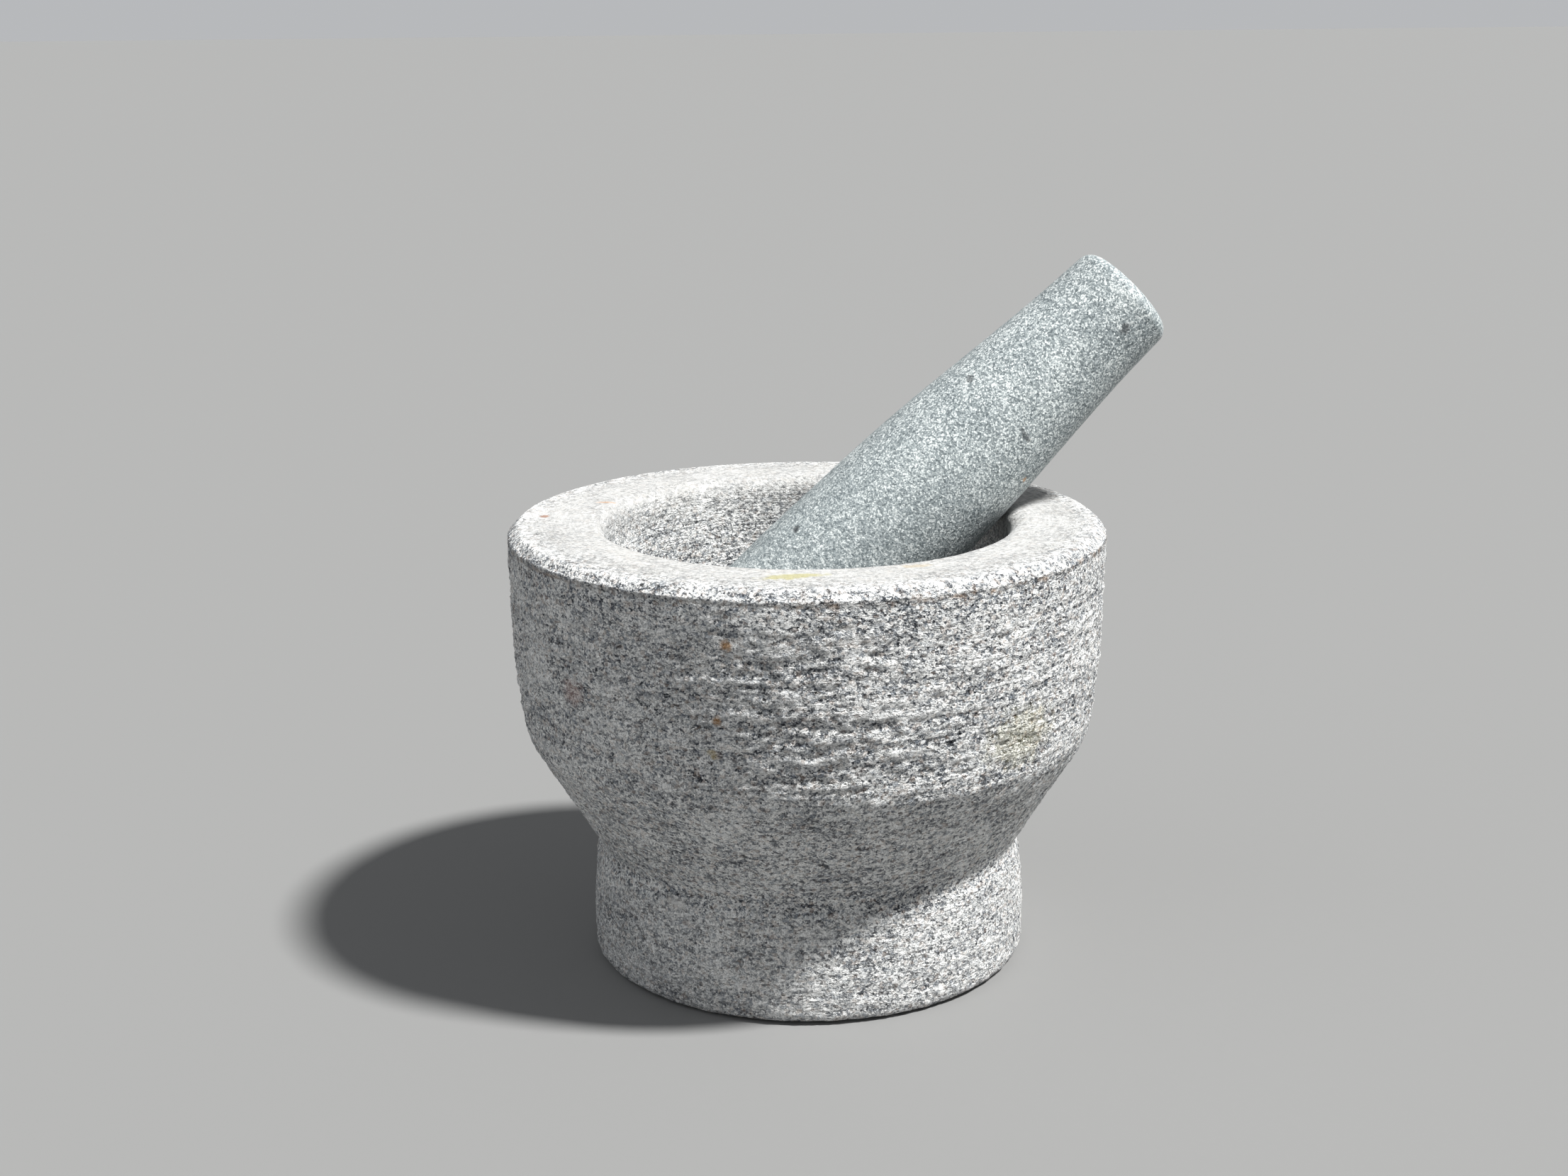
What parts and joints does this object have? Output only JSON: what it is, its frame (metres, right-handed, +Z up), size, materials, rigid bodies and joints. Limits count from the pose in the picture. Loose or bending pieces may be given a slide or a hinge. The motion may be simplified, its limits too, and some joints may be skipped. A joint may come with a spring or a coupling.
{
  "type": "molcajete",
  "caption": "Turned granite mortar on a round foot with a loose tapered pestle leaning in its bowl, for grinding spices and salsas.",
  "frame": {"origin": "centre of the flat face under the foot that the mortar stands on", "axes": "+Z up along the mortar's axis, +X the way the pestle leans"},
  "size_m": [0.167, 0.15, 0.1757],
  "materials": {
    "mortar_granite": "light grey speckled granite, wall left rough from the tool, rim ground flat and pale",
    "pestle_granite": "darker blue-grey fine-grained granite, ground smooth"
  },
  "bodies": {
    "mortar": {"mortar": "mortar_granite"},
    "pestle": {"pestle": "pestle_granite"}
  },
  "joints": [
    {"name": "pestle_lift", "type": "slide", "parent": "mortar", "child": "pestle", "axis": [0, 0, 1], "range_m": [0, 0.12]}
  ]
}
